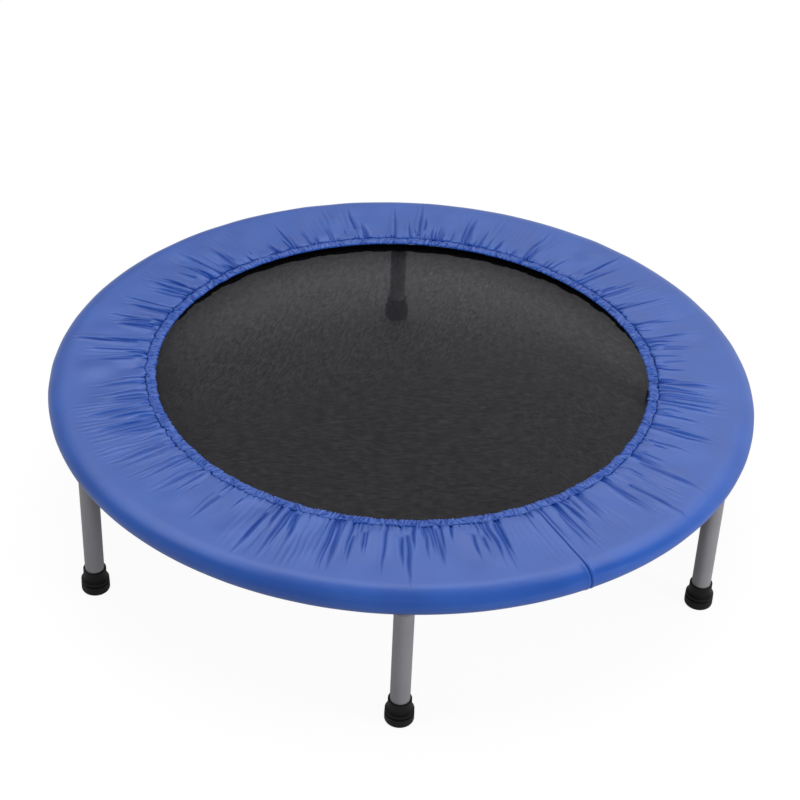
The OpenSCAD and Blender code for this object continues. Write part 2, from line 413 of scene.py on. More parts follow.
# Streaks of slightly lighter and darker threads: noise drawn out along one direction of the mat.
def streaks(tree, turn, along, across):
    rotation = (0, 0, float(np.radians(turn)))
    sockets = {"Vector": objectPoint(tree), "Rotation": rotation, "Scale": (along, across, 1.0)}
    return noise(node(tree, "ShaderNodeMapping", {"vector_type": "TEXTURE"}, sockets), 1.0, 2.0)


# Strands over and under each other, each as high as the root of its wave.
matWeave = {"pitch": 0.0014, "open": 0.45, "least": 0.3}
matLook, tree, shader = material("matWeave", Roughness=0.55, Specular_IOR_Level=0.1)
x, y, z = split(objectPoint(tree))
warp, weft = x.wave(matWeave["pitch"]), y.wave(matWeave["pitch"])
half = np.pi / matWeave["pitch"]
over = (x * half).sine() * (y * half).sine() * 0.5 + 0.5
strands = over * warp.math("SQRT") + (1 - over) * weft.math("SQRT")
# The streaks lie slantwise at the back, nearly level in front, and both ways on the right.
slanted, level = streaks(tree, 62, 0.011, 0.0013), streaks(tree, -4, 0.014, 0.0014)
back = (y + x * -0.5).between(-0.12, 0.14)
right = x.between(0.08, 0.24) * 0.6
drawn = slanted * back + level * (1 - back)
drawn = drawn * (1 - right) + streaks(tree, -54, 0.011, 0.0013) * right
drawn = drawn.between(0.4, 0.62)
# Painted shade: the mat is darker near its edge at the back, with fewer light threads and less
# light let through.
edgeShade = (x * x + y * y).between(0.07, 0.118) * back
tone = mixColour(strands.clamped(), screen(7, 6, 11), screen(24, 23, 31))
threads = drawn * (back * 0.25 + 0.45) * (1 - edgeShade * 0.5)
tone = mixColour(threads, tone, screen(58, 57, 61))
# Painted light: the mat is lightened a little toward the back.
tone = mixColour(y.between(-0.3, 0.3) * 0.04, tone, screen(84, 83, 87))
link(tone, shader, "Base Color")
link(strands * 0.1 + 0.5, shader, "Roughness")
link(bump(strands, 0.0003, 0.6), shader, "Normal")
# The mat has two skins, and each lets about two fifths of the light through. The holes between the
# strands show on the upper one, and the lower one is evenly thin.
upper = z.between(ringZ + 0.0004, ringZ + 0.0008)
holes = ((1 - warp) * (1 - weft)).between(0.2, 0.8)
opened = ((holes - 0.3) * upper + 0.3) * matWeave["open"] + matWeave["least"]
opened = opened * (drawn * 0.2 + 0.87) * (1 - edgeShade * 0.2)
mixShaders(opened, shader, node(tree, "ShaderNodeBsdfTransparent"))


# Woven strap: ribs across the strap and fine threads along it, from the piece's own UV map.
def strapLook(name, dark, light, rib):
    look, tree, shader = material(name, Roughness=0.75, Specular_IOR_Level=0.12)
    u, v = uvSplit(tree)
    ribs = u.wave(rib) * 0.6 + v.wave(rib * 0.7) * 0.4
    link(mixColour(ribs, dark, light), shader, "Base Color")
    link(bump(ribs, 0.0003, 0.7), shader, "Normal")
    return look


bindingLook = strapLook("edgeWebbing", screen(5, 5, 6), screen(14, 14, 15), 0.0016)
loopLook = strapLook("loopWebbing", screen(20, 20, 21), screen(38, 38, 40), 0.0014)
elasticLook = strapLook("elasticBand", screen(200, 200, 196), screen(235, 235, 232), 0.0012)
liningLook = strapLook("liningCloth", screen(46, 52, 68), screen(70, 78, 96), 0.0011)

cordLook, tree, shader = material("elasticCord", Roughness=0.8)
u, v = uvSplit(tree)
tone = mixColour((u + v).wave(0.0012), screen(18, 18, 20), screen(44, 44, 48))
link(tone, shader, "Base Color")

foamLook, tree, shader = material("paddingFoam", Roughness=0.9)
cells = node(tree, "ShaderNodeTexVoronoi", None, {"Vector": objectPoint(tree), "Scale": 900.0})
link(mixColour(cells, screen(206, 204, 190), screen(236, 234, 222)), shader, "Base Color")
link(bump(cells, 0.0004, 0.6), shader, "Normal")


# Satin paint: fine orange peel, slow changes of tone and small scuffs.
def paintLook(name, colour, faded, roughness):
    look, tree, shader = material(name, Coat_Roughness=0.2)
    point = objectPoint(tree)
    peel = noise(point, 420.0, 2.0)
    fading = noise(point, 22.0).between(0.35, 0.65) * 0.3
    scuff = noise(point, 160.0, 5.0, 0.7).between(0.68, 0.8) * 0.35
    tone = mixColour(fading, colour, faded)
    link(mixColour(scuff, tone, screen(150, 150, 152)), shader, "Base Color")
    link(peel * 0.08 + scuff * 0.3 + roughness, shader, "Roughness")
    link(bump(peel, 0.0002, 0.12), shader, "Normal")
    return look


ringPaint = paintLook("ringPaint", screen(96, 97, 101), screen(84, 85, 90), 0.34)
legPaint = paintLook("legPaint", screen(132, 131, 136), screen(119, 118, 123), 0.3)


# Zinc plated steel: faint crystal flecks, mostly metallic.
def zincLook(name, colour, roughness):
    look, tree, shader = material(name, Metallic=0.9)
    fleck = noise(objectPoint(tree), 260.0, 4.0, 0.6)
    tone = mixColour(fleck.between(0.3, 0.75), colour, screen(214, 216, 220))
    link(tone, shader, "Base Color")
    link(fleck * 0.2 + roughness, shader, "Roughness")
    link(bump(fleck, 0.0001, 0.2), shader, "Normal")
    return look


springZinc = zincLook("springZinc", screen(168, 170, 174), 0.24)
wireZinc = zincLook("wireZinc", screen(172, 173, 176), 0.28)
studSteel = zincLook("studSteel", screen(164, 165, 168), 0.3)
bushSteel = zincLook("bushSteel", screen(150, 151, 154), 0.36)

saddleLook, tree, shader = material("saddlePlastic", Roughness=0.5)
grain = noise(objectPoint(tree), 700.0)
link(mixColour(grain, screen(106, 106, 110), screen(118, 118, 122)), shader, "Base Color")
link(bump(grain, 0.0001, 0.4), shader, "Normal")

# Rubber with a fine grain, and dust on its lowest centimetres.
rubberLook, tree, shader = material("footRubber", Specular_IOR_Level=0.3)
point = objectPoint(tree)
grain = noise(point, 800.0)
dust = noise(point, 60.0, 4.0).between(0.45, 0.75) * split(point)[2].between(0.0, 0.02, 1.0, 0.3)
tone = mixColour(grain * 0.4, screen(12, 12, 13), screen(25, 25, 26))
link(mixColour(dust * 0.18, tone, screen(60, 59, 58)), shader, "Base Color")
link(grain * 0.15 + dust * 0.2 + 0.42, shader, "Roughness")
link(bump(grain, 0.0002, 0.5), shader, "Normal")
print("materials made")


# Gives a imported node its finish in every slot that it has.
def dress(name, look):
    slots = nodes[name].material_slots
    if not slots:
        nodes[name].data.materials.append(look)
    for s in slots:
        s.material = look


dress("frame_ring", ringPaint)
dress("leg_bushes", bushSteel)
for k in range(1, legCount + 1):
    dress(f"saddle_washer_{k}", saddleLook)
    dress(f"leg_tube_{k}", legPaint)
    dress(f"leg_stud_{k}", studSteel)

pad = {
    "seed": 23,
    "stitch": 352.2,  # radius of the stitch line
    "roll": 17.0,  # radius of the roll under the tube's height
    "crestIn": 10.0,  # the crest stands this far inside the tube's middle
    "crestUp": 18.5,  # and this far above it
    "columns": 3600,
    "clusters": 60,
    "creases": 262,
    "creaseGap": 3.6,
    # the kinds of folds: share drawn up to, reach outward and width
    "kinds": [
        (0.3, (13, 32), (0.8, 1.5)),
        (0.6, (28, 66), (1.1, 2.4)),
        (1.01, (54, 112), (1.6, 3.4)),
    ],
    "nips": 420,  # short tucks between the stitches
    "nipKind": ((4, 14), (0.55, 1.0)),
    "shallow": [(208.0, 24.0, 0.4), (348.0, 28.0, 0.25)],  # degrees round, width, share lost
    "skirtEnd": -112.0,  # degrees round the tube
    "notchEnd": -38.0,  # the same over a leg
    "notchWidth": 19.0,
    "seam": -62.2,  # degrees round the ring
    "flatter": 2.0,  # how much flatter the opening is in front
    "skin": 0.9,
}
loopLength = tau * pad["stitch"]
seamAt = np.radians(pad["seam"]) % tau * pad["stitch"]
rng = np.random.default_rng(pad["seed"])


# Signed distance along the stitch line, the short way round.
def apart(a, b):
    return (a - b + loopLength / 2) % loopLength - loopLength / 2


# Folds start near the middles of clusters, each at least a gap from the one before.
count = pad["clusters"]
centres = (np.arange(count) + 0.5 + rng.uniform(-0.32, 0.32, count)) * loopLength / count
pulls = rng.uniform(0.2, 0.62, count)
weights = rng.uniform(0.6, 1.4, count)
chosen = rng.choice(count, pad["creases"], p=weights / weights.sum())
places = centres[chosen] + rng.normal(0, 0.27 * loopLength / count, pad["creases"])
folds = []
for p in np.sort(places % loopLength):
    folds.append(max(p, folds[-1] + pad["creaseGap"]) if folds else p)
folds = np.array(folds)
folds = folds[(folds < loopLength - 2) & (np.abs(apart(folds, seamAt)) > 5)]
nips = np.sort(rng.uniform(0, loopLength, pad["nips"]))


# Columns of the grid run along the folds. The column of place A starts at A - pull(A) on the stitch
# line and eases out to A, so that folds fan from each cluster. pull = m (A - c)(1 - x^2), where
# each cluster has its own m, x runs from 0 at its middle c to 1 halfway to the next one, and all of
# it fades at the seam.
def pulled(a):
    ends = np.concatenate([[centres[-1] - loopLength], centres, [centres[0] + loopLength]])
    middles = (ends[1:] + ends[:-1]) / 2
    a = np.where(a > middles[-1], a - loopLength, a)
    cell = np.clip(np.searchsorted(middles, a) - 1, 0, len(centres) - 1)
    off = a - centres[cell]
    half = np.where(off > 0, middles[cell + 1] - centres[cell], centres[cell] - middles[cell])
    share = np.clip(np.abs(off) / half, 0, 1)
    return pulls[cell] * off * (1 - share**2) * (1 - bell(apart(a, seamAt), 22))


# Columns stand closer together at folds, nips and the seam.
fineA = np.linspace(0, loopLength, 40001)
density = np.ones_like(fineA)
for places, more, width in [(folds, 2.2, 2.6), (nips, 0.9, 1.2), ([seamAt], 7.0, 2.4)]:
    for p in places:
        density += more * bell(apart(fineA, p), width)
total = np.append(0, np.cumsum((density[1:] + density[:-1]) / 2))
columnA = np.interp(np.arange(pad["columns"]) / pad["columns"] * total[-1], total, fineA)
azimuth0 = columnA / pad["stitch"]

# Rows: distance from the stitch line over the flat part, then shares of the way round the roll.
flatRows = np.array([
    0, 0.6, 1.3, 2.2, 3.3, 4.7, 6.3, 8.1, 10.1, 12.3, 14.7, 17.3, 20.1, 23, 26, 29.1, 32.3,
    35.6, 39, 42.5, 46.1, 49.8, 53.6, 57.5, 61.5, 65.6, 69.8, 74.1, 78.5, 82.9, 87.3, 91.7,
    95.7, 99.4,
])
rollShare = np.linspace(0, 1, 32)
crestR = ringMm - pad["crestIn"]
legSpan = tau / legCount


# The skirt's edge angle: it wraps under the tube, and rises over each leg by a bell of power 4.
def skirtEdge(azimuth):
    off = ((azimuth + np.pi / 2 + legSpan / 2) % legSpan - legSpan / 2) * ringMm
    return pad["skirtEnd"] + (pad["notchEnd"] - pad["skirtEnd"]) * bell(off, pad["notchWidth"], 4)


# The opening is a little flatter in front: (0.5 - 0.5 sin a)^3 of its measure, inward.
def flatter(azimuth):
    return -pad["flatter"] * (0.5 - 0.5 * np.sin(azimuth)) ** 3


# Middle surface of the cover: height z(t) = top + 1.4 exp(-(t / 40)^2) - 1.9 exp(-t / 5) over the
# flat part, then a quarter of an ellipse from the crest out to the tube's height, and an arc under
# the tube. Also its outward direction, the way along it, and the angle round the tube.
def coverBase(azimuth):
    n = len(azimuth)
    high, roll = pad["crestUp"], pad["roll"]
    wide = pad["crestIn"] + roll
    z = zMm + high + 1.4 * bell(flatRows, 40) - 1.9 * np.exp(-flatRows / 5)
    slope = np.gradient(z, flatRows)
    angle = np.radians(90 + (skirtEdge(azimuth)[:, None] - 90) * rollShare)
    upper = angle > 0
    c, s = np.cos(angle), np.sin(angle)
    rollR = np.where(upper, crestR + wide * c, ringMm + roll * c)
    rollZ = zMm + np.where(upper, high, roll) * s
    leanR, leanZ = np.where(upper, c / wide, c), np.where(upper, s / high, s)
    length = np.hypot(leanR, leanZ)
    r = np.concatenate([np.tile(pad["stitch"] + flatRows, (n, 1)), rollR], 1)
    height = np.concatenate([np.tile(z, (n, 1)), rollZ], 1)
    steep = np.hypot(1, slope)
    outR = np.concatenate([np.tile(-slope / steep, (n, 1)), leanR / length], 1)
    outZ = np.concatenate([np.tile(1 / steep, (n, 1)), leanZ / length], 1)
    steps = np.hypot(np.diff(r, axis=1), np.diff(height, axis=1))
    travel = np.concatenate([np.zeros((n, 1)), np.cumsum(steps, 1)], 1)
    fall = np.concatenate([np.full((n, len(flatRows)), 90.0), np.degrees(angle)], 1)
    return r, height, outR, outZ, travel, fall


baseR, baseZ, outR, outZ, travel, fall = coverBase(azimuth0)
fromSeam = apart(columnA, seamAt)
shift = pulled(columnA)[:, None] * np.exp(-travel / 26)
wobble = drift(rng, azimuth0, 30, 90, 10)[:, None] * np.sin(travel / 9) * ease(travel, 2, 14)
wobble *= 0.35 * (1 - ease(travel, 70, 110)) * (1 - bell(fromSeam, 15))[:, None]
arcPlace = columnA[:, None] - shift + wobble
stretch = np.minimum(baseR, ringMm) / pad["stitch"]
lift = np.zeros_like(baseR)
shade = np.zeros_like(baseR)
hemFolds = []


# The folds are shallower in two stretches: 1 - 0.4 exp(-(a / 24)^2) - 0.25 exp(-(b / 28)^2).
def strength(place):
    level = 1.0
    for at, width, lost in pad["shallow"]:
        away = (np.degrees(place / pad["stitch"]) - at + 180) % 360 - 180
        level -= lost * bell(away, width)
    return level


# One fold: a valley exp(-|x / w|^1.9) that narrows outward, with a ridge on each side of it.
for p in np.concatenate([folds, nips]):
    draw, small, level = rng.random(), p in nips, strength(p)
    spread, widths = next((r, w) for share, r, w in pad["kinds"] if draw < share)
    if small:
        spread, widths = pad["nipKind"]
    reach, wide0, side = rng.uniform(*spread), rng.uniform(*widths), rng.choice([-1, 1])
    depth = wide0 * rng.uniform(0.45, 0.8) * level
    late = rng.uniform(4, 30)
    start = rng.choice([0.0, 0.0, 0.0, 0.0, late])  # one fold in five starts away from the hem
    if small:
        start = 0.0
    if start == 0:
        hemFolds.append((p, min(1.1, 0.55 * depth), rng.uniform(-0.7, 0.7)))
    near = apart(columnA, p)
    here = np.abs(near) < 20
    middle = np.argmin(np.abs(near))
    bow = (arcPlace - columnA[:, None])[here] - (arcPlace[middle] - columnA[middle])
    x = (bow + (near[here] - near[middle])[:, None]) * stretch[here]
    t = travel[here] - start
    along = np.clip(t / reach, 0, 1)
    fade = ease(t, -1.2, 1) * ease(travel[here], -0.4, 0.8) * (1 - ease(along, 0.42, 1))
    wide = wide0 * (1 - 0.62 * along) + 0.2
    valley = bell(x, wide, 1.9)
    ridge = 0.55 * bell(x - side * 2.3 * wide, 1.5 * wide)
    ridge += 0.3 * bell(x + side * 2.5 * wide, 1.7 * wide)
    lift[here] += depth * fade * (ridge - valley)
    # Painted shade: a dark line along the fold and a darker valley.
    line = bell(x + side * 0.25 * wide, 0.2 * wide + 0.38, 1.6)
    shade[here] += fade * (0.65 * line + 0.4 * valley) * min(1.0, 0.25 + depth / 1.3) * level

# Cloth puffs up between neighbouring folds, near the stitch line, and the stitches follow it.
gapEnds = np.concatenate([[folds[-1] - loopLength], folds, [folds[0] + loopLength]])
cell = np.searchsorted(gapEnds, columnA) - 1
gap = gapEnds[cell + 1] - gapEnds[cell]
place = (columnA - gapEnds[cell]) / gap
puff = np.minimum(1.3, 0.14 * gap) * (4 * place * (1 - place)) ** 0.7
lift += puff[:, None] * ease(travel, -0.5, 3) * np.exp(-travel / 14)
meander = 0.75 * drift(rng, azimuth0, 30, 80, 8) + 0.4 * drift(rng, azimuth0, 90, 170, 10)
meander -= 0.7 * (puff - puff.mean())

# Fine long puckers in patches, slow waves in the padding, and ripples toward the skirt's elastic.
fine = drift(rng, azimuth0, 200, 330, 16)[:, None]
fine = fine * np.cos(travel / 24 + 2 * drift(rng, azimuth0, 10, 40, 6)[:, None])
fine += 0.8 * drift(rng, azimuth0, 260, 380, 16)[:, None] * np.sin(travel / 37)
patch = np.clip(0.5 + 0.8 * drift(rng, azimuth0, 4, 16, 6), 0.05, 1.6)[:, None]
lift += 0.095 * fine * patch * ease(travel, 2, 12) * (1 - ease(travel, 84, 112))
slow = 0.5 * drift(rng, azimuth0, 8, 30, 8)[:, None] * np.cos(travel / 31)
slow += 0.5 * drift(rng, azimuth0, 20, 60, 10)[:, None] * np.sin(travel / 19 + 1)
lift += 1.3 * slow * ease(travel, 2, 16) * (1 - 0.85 * ease(travel, 62, 100))
lift += 0.75 * drift(rng, azimuth0, 110, 170, 12)[:, None] * ease(-fall, 58, 110)
meander += 0.9 * drift(rng, azimuth0, 1, 5, 3)

# The sewn seam across the cover: a narrow valley with a puffed edge on each side.
acrossSeam = fromSeam[:, None] * stretch
edges = 0.55 * bell(np.abs(acrossSeam) - 3.2, 2.4) - 1.3 * bell(acrossSeam, 0.9, 1.5)
edges += 0.45 * bell(acrossSeam + 1.9, 0.9) * (1 - ease(travel, 50, 90))
lift += ease(travel, 0, 3) * edges
# Painted shade along the seam's valley.
shade += 0.85 * bell(acrossSeam, 0.75)
# Painted shade along the stitch line's crevice, in patches.
stitchShade = np.clip(0.24 + 0.34 * drift(rng, azimuth0, 60, 200, 10), 0, 1)
shade += stitchShade[:, None] * bell(travel, 0.9)
pucker = 0.45 * drift(rng, azimuth0, 230, 380, 16) + 0.25 * (puff - puff.mean())
lift += pucker[:, None] * np.exp(-travel / 3.5)
stitchWave = meander[:, None] * np.exp(-travel / 8)
stitchWave += flatter(azimuth0)[:, None] * np.exp(-travel / 40)

angle = arcPlace / pad["stitch"]
outer = polar(baseR + outR * lift + stitchWave, angle, baseZ + outZ * lift)

# The casing at the skirt's edge is folded in round the cord: distance from the tube's middle, and
# millimetres round it. The inner skin comes back under the top.
casing = np.array([
    (17.0, -1.2), (16.3, -2.2), (15.2, -2.6), (14.1, -2.2), (13.45, -1.2), (13.35, 0.2),
    (13.5, 2.0), (14.2, 3.4), (15.4, 4.4),
])
caseAngle = np.radians(skirtEdge(azimuth0))[:, None] + casing[:, 1] / 16
caseR = ringMm + casing[:, 0] * np.cos(caseAngle)
caseZ = zMm + casing[:, 0] * np.sin(caseAngle)
rows = len(flatRows) + len(rollShare)
backRows = np.array([k for k in range(rows - 4, 0, -3) if k > 2] + [1])
under = np.clip(lift, -3.2, 3) - pad["skin"]
innerR = np.concatenate([caseR, (baseR + outR * under + stitchWave)[:, backRows]], 1)
innerZ = np.concatenate([caseZ, (baseZ + outZ * under)[:, backRows]], 1)
caseTurn = np.tile(angle[:, -1:], (1, len(casing)))
inner = polar(innerR, np.concatenate([caseTurn, angle[:, backRows]], 1), innerZ)
along = np.append(travel[0], travel[0, -1] + 2 + np.arange(inner.shape[1] + 1) * 3.0)
coverMade = surface(
    np.concatenate([outer, inner], 1), True, pairs(np.append(azimuth0, tau) * 420, along)
)
# The cover's painted shade, kept as its attribute; the inner skin has none.
creases = np.concatenate([np.clip(shade, 0, 1), np.zeros(inner.shape[:2])], 1)
cover = piece("padCover", coverMade, coverLook, creases)
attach(cover, "frame")
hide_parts("pad_cover")
print("cover made,", len(folds), "folds,", len(cover.data.polygons), "faces")

hem = {
    "seed": 31,
    "ripples": 430,
    "height": 1.05,
    "crinkle": 0.5,
    "raise": 1.3,  # the hem stands this much above its solid
    "flat": (0.033, 2.6),
    "middle": (345.5, 208.8),
    "stitches": 560,
    "stitchR": 352.1,
    "stitchZ": 211.05,
}
rng = np.random.default_rng(hem["seed"])
widths = np.repeat(rng.uniform(0.6, 1.5, hem["ripples"]), 6)
hemAz = np.append(0, np.cumsum(widths)[:-1]) / widths.sum() * tau
wander = np.interp(hemAz, azimuth0, meander, period=tau)
bob = np.interp(hemAz, azimuth0, pucker, period=tau)

# One loop of the folded strip: from the stitches over the top, round the lip and back, and inside.
outline = np.array([
    (352.1, 209.5), (351.1, 210.3), (349.3, 210.9), (347.2, 211.2), (345, 211.3), (342.9, 211.2),
    (341, 210.9), (339.5, 210.4), (338.5, 209.7), (338.1, 208.9), (338.4, 208.1), (339.5, 207.4),
    (341.6, 206.8), (344.4, 206.4), (347.4, 206.1), (349.9, 205.9), (351.7, 205.9),
    (351.5, 206.7), (349.8, 206.7), (347.2, 206.9), (344.5, 207.2), (342.2, 207.5), (340.6, 207.9),
    (339.6, 208.4), (339.2, 208.9), (339.4, 209.4), (340.2, 209.8), (341.5, 210.1), (343.2, 210.3),
    (345.1, 210.4), (347, 210.2), (348.7, 209.9), (350.2, 209.4), (351.4, 208.8),
])
toward = unit(outline - hem["middle"])
upper = outline[:, 1] > 208.4
outline[:, 1] += hem["raise"]
# Each ripple spans six columns and has its own width and height: h = sin(pi f)^0.8 over its
# share f, sharp between neighbours. Columns lean across the strip by a slowly changing slant.
inward = hem["stitchR"] - outline[:, 0]
body = ease(inward, 0.2, 2.5)
share = np.tile(np.arange(6) / 6, hem["ripples"])
high = rng.uniform(0.2, 1.3, hem["ripples"])
high = np.repeat(0.5 * high + 0.25 * (np.roll(high, 1) + np.roll(high, -1)), 6)[:, None]
wave = (np.sin(np.pi * share) ** 0.8)[:, None] * np.ones_like(inward)
hemLift = hem["height"] * (high * wave - 0.35)
# Crinkles: a sum of sines of the azimuth whose phases run across the strip, each at its own rate.
crinkle = sum(
    np.sin(n * hemAz[:, None] + q * inward + p)
    for n, q, p in zip(rng.integers(240, 620, 24), rng.normal(0, 0.5, 24), rng.uniform(0, tau, 24))
) / np.sqrt(12)
hemLift += hem["crinkle"] * crinkle
# Painted shade between the ripples and in the crinkles' hollows.
hemShade = 0.85 * (1 - wave) ** 3 * np.clip(high, 0.3, 1) + 0.6 * np.clip(-crinkle - 0.5, 0, 1)
# The deeper folds of the cover run on across the strip at a slant of their own.
hemArc = hemAz * pad["stitch"]
for p, depth, slant in hemFolds:
    near = apart(hemArc, p)
    here = np.abs(near) < 16
    line = bell(near[here][:, None] - slant * inward, 1.2, 1.5)
    hemLift[here] -= depth * line
    # Painted shade along the fold where it crosses the strip.
    hemShade[here] += 0.8 * depth * line
hemLift = np.where(upper, hemLift, np.clip(0.3 * hemLift, -0.3, 0.5)) * body
lean = 2.2 * drift(rng, hemAz, 30, 110, 10)[:, None] * (inward - 7) / 7 / 345
broad = 0.4 * drift(rng, hemAz, 20, 90, 8)[:, None] * body
hemR = outline[:, 0] + toward[:, 0] * (hemLift + 0.7 * broad)
hemR = hemR + wander[:, None] * np.exp(-inward / 9) + flatter(hemAz)[:, None]
hemZ = outline[:, 1] + toward[:, 1] * hemLift + 0.4 * broad
hemZ += bob[:, None] * np.exp(-inward / 2.5) * upper
hemGrid = polar(hemR, hemAz[:, None] + lean, hemZ)
hemMade = surface(hemGrid, True, pairs(np.append(hemAz, tau) * 440, lengths(outline, 64)))
# Painted shade along the stitch line as well, on the strip's upper side only.
hemShade = np.clip(hemShade * body + 0.34 * bell(inward, 0.9), 0, 1) * upper
hemPiece = piece("hemChannel", hemMade, hemLook, hemShade)
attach(hemPiece, "frame")
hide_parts("hem_channel")

# A stitch is a short capsule: places along it, its bow and its thickness there.
stitch = {
    "along": np.array([-1.75, -1.3, -0.5, 0.5, 1.3, 1.75]),
    "bow": np.array([-0.75, -0.15, 0.1, 0.1, -0.15, -0.75]),
    "fat": np.array([0.1, 0.44, 0.52, 0.52, 0.44, 0.1]),
}


# Stitches round the ring: p(q, s) is r + f cos q out, at azimuth a + s / R, and z + bow + f sin q
# up, where the bow and the thickness f change along s.
def stitchLine(azimuth, lineR, r, z, sides, fat, bow):
    q = np.arange(sides)[:, None] * tau / sides
    angle = azimuth[:, None, None] + stitch["along"] / lineR
    r, z = (np.broadcast_to(x, azimuth.shape)[:, None, None] for x in (r, z))
    grid = polar(r + np.cos(q) * fat, angle, z + bow + np.sin(q) * fat)
    return [surface(g, False) for g in grid]


a = np.arange(hem["stitches"]) * tau / hem["stitches"]
seamR = hem["stitchR"] + np.interp(a, hemAz, wander, period=tau) + flatter(a)
sunk = 0.5 * np.clip(drift(rng, a, 40, 200, 12) + 0.25, 0, 1.7)
seamZ = hem["stitchZ"] + (np.interp(a, hemAz, bob, period=tau) - sunk)
capsules = stitchLine(a, hem["stitchR"], seamR, seamZ, 6, stitch["fat"], stitch["bow"])
stitchPiece = piece("hemStitches", together(capsules), threadLook)
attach(stitchPiece, "frame")

# The elastic band in the hem, with small waves.
bandAz = np.arange(360)[:, None] * tau / 360
band = np.array([
    (344.2, 208.2), (347.3, 208.2), (350.4, 208.2), (350.4, 208.9), (347.3, 208.9), (344.2, 208.9),
])
bandR = band[:, 0] + flatter(bandAz) + 0.5 * np.interp(bandAz, hemAz, wander, period=tau)
bandZ = hem["raise"] + band[:, 1] + 0.12 * np.sin(60 * bandAz)
bandPiece = piece("hemElastic", surface(polar(bandR, bandAz, bandZ), True), elasticLook)
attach(bandPiece, "frame")
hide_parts("hem_elastic")
print("hem made")

# The foam lies over the tube: flat below and above, with an arc round the tube and an elliptic
# crown.
foam = {"gap": 0.25, "low": 8.5, "high": 14.4, "out": 15.2, "steps": 240}
over, foamLow, foamHigh = tubeMm + foam["gap"], zMm + foam["low"], zMm + foam["high"]
meets = 180 - np.degrees(np.arcsin(foam["low"] / over))
crown = np.radians(np.linspace(-2, 90, 14))
foamProfile = np.vstack([
    [(354.4, 205.2), (354.8, 202.6), (356.5, foamLow)],
    [(r, foamLow) for r in np.linspace(375, 446, 6)],
    arc(ringMm, zMm, over, meets, -2, 18),
    np.stack([
        crestR + (pad["crestIn"] + foam["out"]) * np.cos(crown), zMm + foam["high"] * np.sin(crown),
    ], -1),
    [(r, foamHigh) for r in np.linspace(446, 373, 8)],
    [(361, 206.9), (356.4, 206.2)],
])
foamPiece = piece("padFoam", turned(foamProfile, foam["steps"], True), foamLook)
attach(foamPiece, "frame")
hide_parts("pad_foam")

# The lining hangs from the stitch line and runs out to the tube, sagging a little between them.
lining = {"seed": 5, "level": 200.8, "sag": 0.35, "waver": 0.3, "steps": 720}
liningUp = [(352.5, 206.2), (352.6, 203.6), (353.4, 201.9), (355.2, 201.0)]
liningUp = np.array(liningUp + [(r, lining["level"]) for r in np.linspace(361, 451.2, 16)])
liningBack = liningUp[::-1] + np.where(liningUp[::-1, :1] < 356, (0.45, 0.25), (0.0, 0.5))
liningLine = np.vstack([liningUp, liningBack])
r, z = liningLine.T
a = np.arange(lining["steps"]) * tau / lining["steps"]
rng = np.random.default_rng(lining["seed"])
sagging = lining["sag"] * drift(rng, a, 12, 60, 10)[:, None] * ease(r, 354, 367)
sagging *= 1 - 0.5 * ease(r, 430, 451)
r = r + lining["waver"] * drift(rng, a, 20, 90, 8)[:, None] * ease(r, 440, 451)
grid = polar(r, a[:, None], z + np.minimum(sagging, 0))
liningMade = surface(grid, True, pairs(np.append(a, tau) * 400, lengths(liningLine, 212)))
liningPiece = piece("padLining", liningMade, liningLook)
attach(liningPiece, "frame")
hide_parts("pad_lining")

# The cord in the skirt's casing: a small circle carried along the skirt's edge.
cord = {"out": 14.6, "radius": 0.6, "sides": 6, "steps": 900}
a = np.arange(cord["steps"]) * tau / cord["steps"]
q = np.arange(cord["sides"])[:, None] * tau / cord["sides"]
cordAngle = np.radians(skirtEdge(a)) + 0.02
cordR = ringMm + cord["out"] * np.cos(cordAngle) + cord["radius"] * np.cos(q)
cordZ = zMm + cord["out"] * np.sin(cordAngle) + cord["radius"] * np.sin(q)
cordPiece = piece("skirtElastic", surface(polar(cordR, a, cordZ), True), cordLook)
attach(cordPiece, "frame")
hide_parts("skirt_elastic")
print("pad filling made")

mat = {"radius": 363.0, "thick": 1.2, "steps": 240}
matTop, matLow = zMm + mat["thick"], zMm
rings = np.array([12, 40, 80, 125, 170, 215, 255, 290, 318, 338, 352, 361.5])
profile = np.vstack([
    [(r, matLow) for r in rings],
    [(mat["radius"], matLow + 0.3), (mat["radius"], matTop - 0.3)],
    [(r, matTop) for r in rings[::-1]],
])
matPiece = piece("matSheet", turned(profile, mat["steps"], False), matLook)
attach(matPiece, "mat")
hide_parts("mat")

# The binding is folded round the mat's edge. Its inner edge is uneven, and lies farther out
# everywhere but at the back.
binding = {"seed": 9, "below": 1.0, "above": 2.2, "steps": 360, "uneven": 1.1, "fartherOut": 3.2}
low, high = zMm - binding["below"], zMm + binding["above"]
bindingProfile = np.vstack([
    [(346.2, low + 0.1), (350, low), (355, low), (361, low)],
    arc(362.4, zMm + 0.6, 1.6, -80, 80, 6),
    [(361, high), (355, high), (350, high), (346.2, high - 0.1)],
    [(346.0, high - 0.5), (346.2, high - 0.9), (350, high - 0.95), (355, high - 0.95)],
    [(362.9, high - 0.97), (363.06, matTop - 0.2), (363.06, matLow + 0.2), (362.9, low + 0.97)],
    [(355, low + 0.95), (350, low + 0.95), (346.2, low + 0.9), (346.0, low + 0.5)],
])
bindingMade = turned(bindingProfile, binding["steps"], True)
points = bindingMade[0]
pointR, pointAz = np.hypot(points[:, 0], points[:, 1]), np.arctan2(points[:, 1], points[:, 0])
rng = np.random.default_rng(binding["seed"])
uneven = binding["uneven"] * drift(rng, pointAz, 20, 150, 14)
uneven += binding["fartherOut"] * (1 - np.clip(np.sin(pointAz), 0, 1) ** 2.6)
uneven = np.clip(uneven, -1.2, 3.3) * (pointR < 348)
points[:, :2] *= (1 + uneven / pointR)[:, None]
bindingPiece = piece("matBinding", bindingMade, bindingLook)
